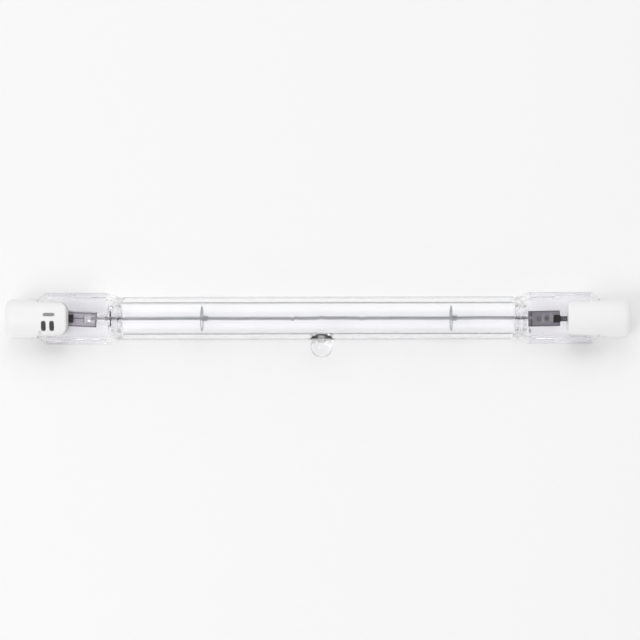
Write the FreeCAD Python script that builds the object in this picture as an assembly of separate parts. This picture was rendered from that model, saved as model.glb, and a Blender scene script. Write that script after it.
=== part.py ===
import FreeCAD, Part
import math
import os

# A double-ended linear halogen lamp with recessed single contacts, lying on a table.
# Clear quartz tube, pressed flat at both ends round molybdenum foils, with a tungsten coil
# on its axis, a melted-off exhaust tip at its side and a white ceramic cap on each end.
# X runs along the lamp, Z is up, and the origin is on the lamp's axis, midway between the
# two contacts. Every piece is drawn with the pressed ends level and the exhaust tip towards
# -Y, and is then rolled about X until the tip touches the table that the tube lies on.
# All sizes are in millimetres. The outer end of either seal is its end away from the middle.

# Lamp
contact_spacing = 114.2     # from one contact face to the other
recess_depth = 1.7          # each contact face lies this far inside its cap

# Quartz tube and gas space
tube_d = 8.1
wall = 1.0
chamber_inset = 18.15       # from a contact face to the flattened end of the gas space
chamber_end_width = 7.2     # the bore spreads as it is pressed flat
chamber_end_height = 0.3
shoulder_length = 2.4       # from the round tube to the flat seal

# Pressed seal: a web between two ribs, with a narrower nose that enters the cap
seal_lip = 0.75             # the glass is fully pressed this far past the gas space
seal_width = 9.7
rib_thickness = 3.0
web_thickness = 2.0
rib_width = 1.3
pocket_ramp = 0.6           # slope from the shoulder down to the web
nose_inset = 0.25           # the nose is this much narrower than the web, on either side
nose_depth = 1.15           # how far the nose stands in the cap's barrel
jaw_mark_width = 0.4        # shallow groove that the press leaves along each rib
jaw_mark_depth = 0.2
jaw_mark_length = 5.4
jaw_mark_inset = 0.75       # from the seal's edge to the groove's middle
rib_clearance = 0.05        # between the ribs' ends and the cap's barrel

# Unsealed channel round each inner lead
channel_width = 1.8
channel_height = 0.9

# Exhaust tip, melted off into a bead
tip_x = 0.63
bead_d = 4.15
bead_rise = 3.35            # how far the bead stands out from the tube
bead_flare = 0.35           # widening of the bead's neck where it joins the tube
exhaust_hole_d = 1.6
exhaust_cover = 2.2         # glass between the hole's end and the bead's far side

# Ceramic cap: a round barrel with two tongues that hold the seal between them
cap_d = 7.4
barrel_length = 5.9
tongue_length = 6.0
tongue_side_gap = 0.35      # from a tongue's side to the rib beside it
tongue_bevel = 0.45
tongue_flare = 0.3          # widening where a tongue joins the barrel
left_tongue_corner_r = 1.9
right_tongue_corner_r = 1.2
cap_end_r = 1.5
cap_end_facets = 3          # straight steps that make up the rounding of the cap's end
recess_d = 3.2
recess_chamfer = 0.3
cement_layer = 0.15         # between the web and each tongue
cement_end = 0.2            # between the nose and the end of the slot
cement_setback = 0.1        # the cement stops short of the ceramic's outer surface

# Contact: a flat-headed pin, drilled for the outer lead
head_d = 2.6
head_thickness = 0.6
shank_d = 1.7
shank_length = 1.6
contact_clearance = 0.05    # round the head and the shank
lead_depth = 1.3            # how far the outer lead stands in the contact
lead_clearance = 0.03       # round the lead in the contact and the cement

# Foils and leads
foil_length = 6.0
foil_width = 2.95
foil_thickness = 0.03
left_foil_gap = 2.75        # from the gas space to the foil
right_foil_gap = 0.55
left_foil_tilt = 2.8        # degrees, inner end towards the exhaust tip's side
right_foil_tilt = -1.0
outer_lead_d = 1.0
outer_pad_width = 1.4       # the lead's end, pressed flat and welded on the foil
outer_pad_thickness = 0.45
outer_pad_length = 1.35
inner_lead_d = 0.4
inner_pad_width = 0.6
inner_pad_thickness = 0.2
inner_pad_length = 1.1
spud_length = 2.0           # how far the inner lead stands in the coil
bead_on_lead_d = 0.75       # bead on the left inner lead
bead_on_lead_length = 0.55
bead_on_lead_gap = 0.95     # from the gas space to the bead's middle

# Filament and its wire supports
coil_d = 0.75
coil_wire_d = 0.15
coil_end_gap = 0.35         # from either end of the gas space to the coil
left_support_place = -0.567  # share of the way from the middle to the coil's end
right_support_place = 0.648
support_ring_gap = 0.6      # from the ring to the bore
support_wire_d = 0.2
support_wire_sides = 6
support_ring_sweep = 325.0  # degrees of the ring
support_lean = 6.0          # degrees that each ring leans from square
hub_length = 1.1
hub_clearance = 0.01        # between the hub's wire and the coil

# Places that follow from the sizes above, for the end at +X
contact_face = contact_spacing / 2
bore_d = tube_d - 2 * wall
chamber_end = contact_face - chamber_inset
shoulder_end = chamber_end + seal_lip
cap_end = contact_face + recess_depth
barrel_face = cap_end - barrel_length
tongue_end = barrel_face - tongue_length
nose_end = barrel_face + nose_depth
slot_end = nose_end + cement_end
web_half_width = seal_width / 2 - rib_width
nose_width = 2 * (web_half_width - nose_inset)
tongue_width = 2 * (web_half_width - tongue_side_gap)
support_ring_d = bore_d - 2 * support_ring_gap
slot_half_height = web_thickness / 2 + cement_layer
head_back = contact_face - head_thickness
shank_end = head_back - shank_length
outer_lead_end = shank_end + lead_depth
coil_end = chamber_end - coil_end_gap
bead_centre_y = bead_d / 2 - bead_rise - tube_d / 2
rest_roll = math.degrees(math.asin((tube_d - bead_d) / 2 / -bead_centre_y))

X_AXIS = FreeCAD.Vector(1, 0, 0)
Y_AXIS = FreeCAD.Vector(0, 1, 0)
Z_AXIS = FreeCAD.Vector(0, 0, 1)
ORIGIN = FreeCAD.Vector(0, 0, 0)


def box(low, high):
    """A box between two opposite corners."""
    size = [high[i] - low[i] for i in range(3)]
    return Part.makeBox(*size, FreeCAD.Vector(*low))


def rod(radius, start, end):
    """A round rod along the lamp's axis, from one x to another."""
    return Part.makeCylinder(radius, end - start, FreeCAD.Vector(start, 0, 0), X_AXIS)


def polygon_face(points):
    """A flat face inside a closed run of straight lines."""
    corners = [FreeCAD.Vector(*p) for p in points]
    return Part.Face(Part.makePolygon(corners + corners[:1]))


def pressed_section(x, radius, half_width, half_height, pressed):
    """The tube's outline at x: a circle where pressed is 0, a flat slab with round edges at 1."""
    def between(round_size, flat_size):
        return round_size + (flat_size - round_size) * pressed

    corner = radius * math.sqrt(0.5)
    corner_y = between(corner, half_width - half_height)
    corner_z = between(corner, half_height)
    side_y = between(radius, half_width)
    crown_z = between(radius, half_height)

    def crown(side):
        ends = [FreeCAD.Vector(x, y, side * corner_z) for y in (side * corner_y, -side * corner_y)]
        if pressed == 1:
            return Part.makeLine(*ends)
        return Part.Arc(ends[0], FreeCAD.Vector(x, 0, side * crown_z), ends[1]).toShape()

    def edge(side):
        ends = [FreeCAD.Vector(x, side * corner_y, z) for z in (-side * corner_z, side * corner_z)]
        return Part.Arc(ends[0], FreeCAD.Vector(x, side * side_y, 0), ends[1]).toShape()

    return Part.Wire([crown(1), edge(-1), crown(-1), edge(1)])


def press_transition(start, end, radius, half_width, half_height, steps):
    """The stretch in which a round section is pressed flat, easing in and out."""
    sections = []
    for i in range(steps + 1):
        share = i / steps
        eased = share * share * (3 - 2 * share)
        x = start + (end - start) * share
        sections.append(pressed_section(x, radius, half_width, half_height, eased))
    return Part.makeLoft(sections, True, True)


def seal_body():
    """The flat pressed end: ribs, web, jaw marks and nose."""
    edge = seal_width / 2
    section = pressed_section(shoulder_end, tube_d / 2, edge, rib_thickness / 2, 1)
    slab = Part.Face(section).extrude(X_AXIS * (nose_end - shoulder_end))
    rib_end = barrel_face - rib_clearance
    slope_start = rib_end - rib_width
    nose_start = slope_start + edge - nose_width / 2
    upper = [
        (shoulder_end, edge),
        (slope_start, edge),
        (nose_start, nose_width / 2),
        (nose_end, nose_width / 2),
    ]
    outline = [(x, y, -rib_thickness) for x, y in upper]
    outline += [(x, -y, -rib_thickness) for x, y in reversed(upper)]
    body = slab.common(polygon_face(outline).extrude(Z_AXIS * 2 * rib_thickness))
    for side in (1, -1):
        web_z = side * web_thickness / 2
        top_z = side * rib_thickness
        pocket = [
            (shoulder_end + pocket_ramp, -web_half_width, web_z),
            (shoulder_end, -web_half_width, side * rib_thickness / 2),
            (shoulder_end, -web_half_width, top_z),
            (nose_end + 1, -web_half_width, top_z),
            (nose_end + 1, -web_half_width, web_z),
        ]
        body = body.cut(polygon_face(pocket).extrude(Y_AXIS * 2 * web_half_width))
        for edge_side in (1, -1):
            groove_y = edge_side * (edge - jaw_mark_inset)
            groove = box(
                (slope_start - jaw_mark_length, groove_y - jaw_mark_width / 2, -rib_thickness),
                (slope_start, groove_y + jaw_mark_width / 2, rib_thickness),
            )
            crest = (rib_thickness / 2) ** 2 - (rib_thickness / 2 - jaw_mark_inset) ** 2
            floor_z = math.sqrt(crest) - jaw_mark_depth
            keep = box(
                (0, -seal_width, -floor_z),
                (cap_end, seal_width, floor_z),
            )
            body = body.cut(groove.cut(keep))
    return body


def exhaust_tip():
    """The bead where the exhaust tube was melted off, and its flared neck."""
    bead = Part.makeSphere(bead_d / 2, FreeCAD.Vector(tip_x, bead_centre_y, 0))
    neck_y = tube_d / 2 + bead_flare
    neck_r = math.sqrt((bead_d / 2) ** 2 - (neck_y + bead_centre_y) ** 2)
    neck = Part.makeCone(
        neck_r + 2 * bead_flare,
        neck_r,
        2 * bead_flare,
        FreeCAD.Vector(tip_x, 2 * bead_flare - neck_y, 0),
        -Y_AXIS,
    )
    return bead.fuse(neck)


def exhaust_hollow():
    """The exhaust hole, from the gas space into the bead."""
    reach = tube_d / 2 + bead_rise - exhaust_cover
    return Part.makeCylinder(exhaust_hole_d / 2, reach, FreeCAD.Vector(tip_x, 0, 0), -Y_AXIS)


def gas_space():
    """The sealed hollow inside the quartz."""
    start = chamber_end - shoulder_length
    end = press_transition(
        start, chamber_end, bore_d / 2, chamber_end_width / 2, chamber_end_height / 2, 3
    )
    space = rod(bore_d / 2, -start, start)
    return space.fuse([end, mirrored(end), exhaust_hollow()])


def lead_channel(foil_gap):
    """The narrow hollow that is left round an inner lead, from the gas space to the foil."""
    start = chamber_end - shoulder_length / 2
    end = chamber_end + foil_gap
    section = pressed_section(start, channel_height, channel_width / 2, channel_height / 2, 1)
    return Part.Face(section).extrude(X_AXIS * (end - start))


def foil(foil_gap, tilt):
    """A molybdenum foil in the middle of the web."""
    start = chamber_end + foil_gap
    plate = box(
        (start, -foil_width / 2, -foil_thickness / 2),
        (start + foil_length, foil_width / 2, foil_thickness / 2),
    )
    plate.rotate(FreeCAD.Vector(start + foil_length / 2, 0, 0), Z_AXIS, tilt)
    return plate


def weld_pad(start, end, width, thickness):
    """The pressed end of a lead, lying on the foil's upper face."""
    low_z = foil_thickness / 2
    pad = box((start, -width / 2, low_z), (end, width / 2, low_z + thickness))
    upright = [e for e in pad.Edges if abs(e.tangentAt(e.FirstParameter).z) > 0.99]
    return pad.makeFillet(width / 4, upright)


def outer_lead(foil_gap):
    """The molybdenum wire from the foil to the contact."""
    foil_end = chamber_end + foil_gap + foil_length
    neck = outer_lead_d / 2
    pad = weld_pad(
        foil_end - outer_pad_length, foil_end + neck, outer_pad_width, outer_pad_thickness
    )
    wire = rod(outer_lead_d / 2, foil_end + foil_thickness, outer_lead_end)
    return pad.fuse(wire).removeSplitter()


def inner_lead(foil_gap):
    """The tungsten wire from the foil into the coil."""
    foil_start = chamber_end + foil_gap
    neck = inner_lead_d / 2
    pad = weld_pad(
        foil_start - neck, foil_start + inner_pad_length, inner_pad_width, inner_pad_thickness
    )
    wire = rod(inner_lead_d / 2, coil_end - spud_length, foil_start - foil_thickness)
    return pad.fuse(wire).removeSplitter()


def beaded_inner_lead(foil_gap):
    """An inner lead with a small bead on it, between the gas space and the foil."""
    middle = chamber_end + bead_on_lead_gap
    half = bead_on_lead_length / 2
    bead = rod(bead_on_lead_d / 2, middle - half, middle + half)
    return inner_lead(foil_gap).fuse(bead).removeSplitter()


def contact():
    """The flat-headed pin that the lampholder's plunger presses on."""
    head = rod(head_d / 2, head_back, contact_face)
    shank = rod(shank_d / 2, shank_end, head_back)
    hole = rod(outer_lead_d / 2 + lead_clearance, shank_end, outer_lead_end + lead_clearance)
    return head.fuse(shank).removeSplitter().cut(hole)


def cap_profile(radius, start, end, bevel):
    """Half the outline of a cap's outside, bevelled at its start and rounded at its end."""
    points = [(start, 0), (start, radius - bevel), (start + bevel, radius)]
    for i in range(cap_end_facets + 1):
        angle = math.pi / 2 * i / cap_end_facets
        points.append((
            end - cap_end_r * (1 - math.sin(angle)),
            radius - cap_end_r * (1 - math.cos(angle)),
        ))
    points.append((end, 0))
    return polygon_face([(x, 0, z) for x, z in points])


def cap_blank(corner_r, inset):
    """The cap's outside without its slot and holes, drawn in by inset all over."""
    radius = cap_d / 2 - inset
    start = tongue_end + inset
    end = cap_end - inset
    turned = cap_profile(radius, start, end, tongue_bevel).revolve(ORIGIN, X_AXIS, 360)

    half = tongue_width / 2 - inset
    flare_start = barrel_face - tongue_flare + inset
    tongues = box(
        (start, -half, -cap_d), (flare_start + tongue_flare, half, cap_d)
    )
    corners = [
        e for e in tongues.Edges
        if abs(e.tangentAt(e.FirstParameter).z) > 0.99 and e.Vertexes[0].X < start + inset + 0.001
    ]
    tongues = tongues.makeFillet(corner_r, corners)
    flare_half = half + tongue_flare
    flare = polygon_face([
        (flare_start, -half, -cap_d),
        (flare_start, half, -cap_d),
        (flare_start + tongue_flare, flare_half, -cap_d),
        (flare_start + tongue_flare, -flare_half, -cap_d),
    ]).extrude(Z_AXIS * 2 * cap_d)
    barrel = box((barrel_face + inset, -cap_d, -cap_d), (cap_end, cap_d, cap_d))
    return turned.common(tongues.fuse([flare, barrel]))


def cap_slot():
    """The slot across the cap, in which the seal is cemented."""
    return box((0, -cap_d, -slot_half_height), (slot_end, cap_d, slot_half_height))


def cap(corner_r):
    """A ceramic cap: barrel, tongues, slot and the recess over its contact."""
    recess = rod(recess_d / 2, contact_face, cap_end)
    mouth = Part.makeCone(
        recess_d / 2,
        recess_d / 2 + recess_chamfer,
        recess_chamfer,
        FreeCAD.Vector(cap_end - recess_chamfer, 0, 0),
        X_AXIS,
    )
    head_seat = rod(head_d / 2 + contact_clearance, head_back, contact_face)
    shank_hole = rod(shank_d / 2 + contact_clearance, slot_end, head_back)
    body = cap_blank(corner_r, 0).cut(cap_slot())
    return body.cut([recess, mouth, head_seat, shank_hole])


def cement(corner_r, seal):
    """The cement that fills the cap's slot round the seal and its lead."""
    fill = cap_blank(corner_r, cement_setback).common(cap_slot())
    lead_hole = rod(outer_lead_d / 2 + lead_clearance, nose_end, slot_end)
    return fill.cut([seal, lead_hole])


def mirrored(shape):
    """The same shape at the other end of the lamp."""
    return shape.mirror(ORIGIN, X_AXIS)


def filament():
    """The tungsten coil, as the sleeve that its fine turns fill."""
    outside = rod(coil_d / 2, -coil_end, coil_end)
    return outside.cut(rod(coil_d / 2 - coil_wire_d, -coil_end, coil_end))


def support(x):
    """One wire: a hub wound round the coil, a spoke and an open ring in the bore."""
    wire_r = support_wire_d / 2
    hub_r = coil_d / 2 + hub_clearance
    ring_r = support_ring_d / 2 - wire_r

    # The hub's close turns are one sleeve.
    hub = rod(hub_r + support_wire_d, 0, hub_length).cut(rod(hub_r, 0, hub_length))

    section = []
    for i in range(support_wire_sides):
        angle = 2 * math.pi * (i + 0.5) / support_wire_sides
        section.append((wire_r * math.sin(angle), 0, ring_r + wire_r * math.cos(angle)))
    ring = polygon_face(section).revolve(ORIGIN, X_AXIS, support_ring_sweep)
    spoke_start = hub_r + wire_r / 2
    spoke_base = FreeCAD.Vector(0, 0, spoke_start)
    spoke = Part.makeCylinder(wire_r, ring_r - spoke_start, spoke_base, Z_AXIS)
    spoke.translate(X_AXIS * wire_r)
    ring.translate(X_AXIS * wire_r)

    # The ring leans about the spoke, so that the spoke still meets it.
    ring.rotate(X_AXIS * wire_r, Z_AXIS, support_lean)
    wire = hub.fuse([spoke, ring]).removeSplitter()
    wire.rotate(ORIGIN, X_AXIS, -90)
    wire.translate(X_AXIS * x)
    return wire


def envelope(seal, embedded):
    """The quartz: tube, shoulders, seals and exhaust tip, round what is sealed inside it."""
    start = shoulder_end - shoulder_length
    shoulder = press_transition(
        start, shoulder_end, tube_d / 2, seal_width / 2, rib_thickness / 2, 3
    )
    tube = rod(tube_d / 2, -start, start)
    outside = tube.fuse([exhaust_tip(), shoulder, mirrored(shoulder), seal, mirrored(seal)])
    hollow = gas_space().fuse([lead_channel(right_foil_gap), mirrored(lead_channel(left_foil_gap))])
    return outside.removeSplitter().cut(hollow).cut(embedded)


def pieces():
    """Every piece of the lamp by its name, with the pressed ends level."""
    seal = seal_body()
    made = {
        "foil_left": mirrored(foil(left_foil_gap, left_foil_tilt)),
        "foil_right": foil(right_foil_gap, right_foil_tilt),
        "outer_lead_left": mirrored(outer_lead(left_foil_gap)),
        "outer_lead_right": outer_lead(right_foil_gap),
        "inner_lead_left": mirrored(beaded_inner_lead(left_foil_gap)),
        "inner_lead_right": inner_lead(right_foil_gap),
    }
    made["quartz_envelope"] = envelope(seal, list(made.values()))
    made["filament"] = filament()
    made["support_left"] = support(left_support_place * coil_end)
    made["support_right"] = support(right_support_place * coil_end)
    made["contact_left"] = mirrored(contact())
    made["contact_right"] = contact()
    made["cap_left"] = mirrored(cap(left_tongue_corner_r))
    made["cap_right"] = cap(right_tongue_corner_r)
    made["cement_left"] = mirrored(cement(left_tongue_corner_r, seal))
    made["cement_right"] = cement(right_tongue_corner_r, seal)
    return made


def main():
    os.makedirs("parts", exist_ok=True)
    for name, shape in pieces().items():
        shape.rotate(ORIGIN, X_AXIS, rest_roll)
        shape.exportStep(f"parts/{name}.step")
        print(f"{name}: {len(shape.Solids)} solid, {shape.Volume:.3f} mm3, valid {shape.isValid()}")


main()
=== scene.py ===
import math

import bpy
from mathutils import Matrix, Vector


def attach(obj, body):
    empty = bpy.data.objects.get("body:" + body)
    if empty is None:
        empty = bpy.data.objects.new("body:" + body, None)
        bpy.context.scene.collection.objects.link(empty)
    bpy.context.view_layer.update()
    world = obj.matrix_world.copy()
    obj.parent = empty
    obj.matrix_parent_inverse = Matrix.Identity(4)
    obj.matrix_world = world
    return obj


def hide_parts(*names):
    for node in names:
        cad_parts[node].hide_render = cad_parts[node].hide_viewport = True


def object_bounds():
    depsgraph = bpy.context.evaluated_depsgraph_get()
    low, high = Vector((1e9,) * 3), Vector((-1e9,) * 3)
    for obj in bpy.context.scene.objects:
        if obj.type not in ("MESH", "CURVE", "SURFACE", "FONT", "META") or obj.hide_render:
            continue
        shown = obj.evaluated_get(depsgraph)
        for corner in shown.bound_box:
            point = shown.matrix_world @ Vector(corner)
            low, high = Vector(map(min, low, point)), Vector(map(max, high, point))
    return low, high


# A clear linear halogen bulb lying on a pale table, seen square to its flat pressed ends.
# Sizes in the dictionaries are millimetres. Every piece is shaped with the pressed ends
# level and the exhaust tip towards -Y, and is rolled onto the table when it is finished.

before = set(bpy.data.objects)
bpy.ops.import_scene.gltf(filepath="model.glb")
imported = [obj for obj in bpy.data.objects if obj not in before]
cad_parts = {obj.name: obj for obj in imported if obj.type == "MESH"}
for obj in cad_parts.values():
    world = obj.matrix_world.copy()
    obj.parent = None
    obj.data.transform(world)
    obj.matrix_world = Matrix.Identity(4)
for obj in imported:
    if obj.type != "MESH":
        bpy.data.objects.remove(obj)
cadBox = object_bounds()
print("frame loaded:", sorted(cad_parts))

quartz = {
    "tubeDiameter": 8.1,
    "boreDiameter": 6.1,
    "stepStart": 36.8,          # the tube is pressed flat between these two places
    "stepEnd": 39.4,
    "shoulderStart": 37.1,      # and widens between these two
    "sealStart": 39.8,
    "sealWidth": 9.7,
    "ribThickness": 3.0,
    "webThickness": 2.0,
    "ribWidth": 1.3,
    "ribSlope": 0.35,           # width of the melted step from rib to web
    "cornerStart": 51.55,       # the ribs are cut off at 45 degrees from here
    "noseStart": 53.1,
    "noseHalfWidth": 3.3,
    "noseEnd": 54.05,
    "jawMarks": {"left": (-51.2, -45.6), "right": (44.6, 51.4)},   # grooves along the ribs
    "jawMarkPlace": 4.1,
    "jawMarkWidth": 0.5,
    "jawMarkDepth": 0.14,
    "jawMarkFade": 0.2,
    "glassIndex": 1.458,
    "tintFade": (37.5, 40.2),   # the pressed ends' cool tint starts here and is full here
    "gasEndWidth": 7.2,
    "gasEndHeight": 0.05,
    "gasEndStep": 0.03,         # length of the step from the gas space to the channel
    "channelEnd": {"left": 41.7, "right": 39.7},   # the press leaves a channel by the lead
    "channelMouth": {"left": (3.0, 1.0), "right": (1.2, 0.5)},     # width and height
    "channelTail": (1.6, 0.5),
    "tipAlong": 0.63,
    "beadDiameter": 4.15,
    "beadOffset": 5.325,        # from the bulb's axis to the bead's middle
    "neckPlace": 4.35,          # where the bead starts to flare out to the tube
    "neckFlare": 4.1,
    "neckWidest": 2.5,
    "neckLength": 1.6,
    "seamWidth": 0.3,           # the melted seam of neck and tube, and its height
    "seamHeight": 0.25,
    "exhaustHole": 1.6,
    "exhaustInside": 0.9,       # how far inside the bore the hole starts
    "exhaustReach": 4.7,
    "exhaustRounding": 0.42,    # as a share of the hole's diameter
    "sidesRound": 192,
    # rings of edges stand close together where the shape or the colour changes
    "shoulderLead": 0.6,        # from this far before the step
    "shoulderRings": 32,
    "fadeRings": (40.0, 40.2, 40.3, 51.0, 51.3),
    "markRings": 0.25,          # this far to either side of a jaw mark's end
    "beadRings": 0.8,           # this far past the bead
}
# the lamp lies on its tube and on its bead
restRoll = math.asin((quartz["tubeDiameter"] - quartz["beadDiameter"]) / 2 / quartz["beadOffset"])
nearby = 0.01                   # how exactly edges are picked by their place


def mm(length):
    return length * 0.001


def ease(value, start, end):
    # rises smoothly from 0 at the start to 1 at the end
    share = min(max((value - start) / (end - start), 0.0), 1.0)
    return share * share * (3 - 2 * share)


def between(value, rise, fall):
    # rises over the first stretch and falls again over the second
    return ease(value, *rise) * (1 - ease(value, *fall))


def steps(start, end, count):
    return [start + (end - start) * i / count for i in range(count + 1)]


def nothingSelected():
    if bpy.context.object and bpy.context.object.mode != "OBJECT":
        bpy.ops.object.mode_set(mode="OBJECT")
    bpy.ops.object.select_all(action="DESELECT")


def onlySelected(piece):
    nothingSelected()
    piece.select_set(True)
    bpy.context.view_layer.objects.active = piece


def settle(piece):
    onlySelected(piece)
    bpy.ops.object.transform_apply(location=True, rotation=True, scale=True)


def addModifier(piece, kind, **settings):
    onlySelected(piece)
    modifier = piece.modifiers.new(kind.title(), kind)
    for name, value in settings.items():
        setattr(modifier, name, value)
    bpy.ops.object.modifier_apply(modifier=modifier.name)


def combine(piece, other, operation):
    addModifier(piece, "BOOLEAN", object=other, operation=operation, solver="EXACT")
    bpy.data.objects.remove(other)


def addBlock(low, high):
    nothingSelected()
    middle = [mm(low[i] + high[i]) / 2 for i in range(3)]
    bpy.ops.mesh.primitive_cube_add(size=1, location=middle)
    block = bpy.context.object
    block.scale = [mm(high[i] - low[i]) for i in range(3)]
    settle(block)
    return block


def addRod(radius, start, end, sides=96):
    nothingSelected()
    bpy.ops.mesh.primitive_cylinder_add(
        vertices=sides, radius=mm(radius), depth=mm(end - start),
        location=(mm(start + end) / 2, 0, 0), rotation=(0, math.pi / 2, 0),
    )
    rod = bpy.context.object
    settle(rod)
    return rod


def editWhole(piece):
    onlySelected(piece)
    bpy.ops.object.mode_set(mode="EDIT")
    bpy.ops.mesh.select_all(action="SELECT")


def leaveEdit():
    bpy.ops.object.mode_set(mode="OBJECT")


def weld(piece, distance=0.0005):
    # joins points that are no further apart than this
    editWhole(piece)
    bpy.ops.mesh.remove_doubles(threshold=mm(distance))
    leaveEdit()


def cutRings(piece, places, direction=(1, 0, 0)):
    # rings of edges round the piece, square to the direction
    editWhole(piece)
    for place in places:
        bpy.ops.mesh.select_all(action="SELECT")
        bpy.ops.mesh.bisect(plane_co=Vector(direction) * mm(place), plane_no=direction)
    leaveEdit()


def selectEdges(piece, wanted):
    # leaves the piece in edit mode with the wanted edges selected
    onlySelected(piece)
    bpy.ops.object.mode_set(mode="EDIT")
    bpy.ops.mesh.select_all(action="DESELECT")
    bpy.ops.mesh.select_mode(type="EDGE")
    bpy.ops.object.mode_set(mode="OBJECT")
    for edge in piece.data.edges:
        ends = [piece.data.vertices[i].co * 1000 for i in edge.vertices]
        edge.select = wanted(*ends)
    bpy.ops.object.mode_set(mode="EDIT")


def bevelEdges(piece, wanted, width, segments):
    selectEdges(piece, wanted)
    bpy.ops.mesh.bevel(offset=mm(width), segments=segments)
    leaveEdit()


def paintMarks(piece, marks):
    # soft-edged marks, darker above zero and brighter below it, where they are painted highlights,
    # each with its middle, half sizes, roundness (2 for an ellipse, 8 for a rectangle) and strength
    softEdge = (0.75, 1.25)
    layer = piece.data.attributes.new("mark", "FLOAT", "POINT")
    for vertex, spot in zip(piece.data.vertices, layer.data):
        x, y, z = vertex.co * 1000
        for midX, midY, halfX, halfY, roundness, strength in marks:
            across = abs((x - midX) / halfX) ** roundness + abs((y - midY) / halfY) ** roundness
            spot.value += strength * (1 - ease(across ** (1 / roundness), *softEdge))


def mirrorToLeft(piece):
    piece.scale.x = -1
    settle(piece)
    editWhole(piece)
    bpy.ops.mesh.normals_make_consistent(inside=False)
    leaveEdit()


def finishPiece(piece, name, material, nodes, sharpAngle=35):
    # faces with more than four sides become triangles, so that the exported mesh is closed
    onlySelected(piece)
    bpy.ops.object.mode_set(mode="EDIT")
    bpy.ops.mesh.select_all(action="DESELECT")
    bpy.ops.mesh.select_face_by_sides(number=4, type="GREATER", extend=False)
    bpy.ops.mesh.quads_convert_to_tris(quad_method="BEAUTY", ngon_method="BEAUTY")
    leaveEdit()
    piece.name = name
    piece.data.name = name
    piece.rotation_euler = (restRoll, 0, 0)
    settle(piece)
    bpy.ops.object.shade_smooth_by_angle(angle=math.radians(sharpAngle))
    piece.data.materials.clear()
    piece.data.materials.append(material)
    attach(piece, "root")
    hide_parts(*nodes)
    print("piece done:", name, len(piece.data.polygons), "faces")


# Colours and surfaces

def fromHex(code):
    channels = [int(code[i:i + 2], 16) / 255 for i in (0, 2, 4)]
    return [c / 12.92 if c <= 0.04045 else ((c + 0.055) / 1.055) ** 2.4 for c in channels] + [1]


def addNode(tree, kind, settings=None, inputs=None):
    node = tree.nodes.new(kind)
    for name, value in (settings or {}).items():
        setattr(node, name, value)
    for name, value in (inputs or {}).items():
        if isinstance(value, bpy.types.NodeSocket):
            tree.links.new(value, node.inputs[name])
        else:
            node.inputs[name].default_value = value
    return node


def startMaterial(name):
    material = bpy.data.materials.new(name)
    material.use_nodes = True
    tree = material.node_tree
    tree.nodes.clear()
    place = addNode(tree, "ShaderNodeTexCoord").outputs["Object"]
    return material, tree, place


def showSurface(tree, shader):
    addNode(tree, "ShaderNodeOutputMaterial", inputs={"Surface": shader.outputs[0]})


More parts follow.
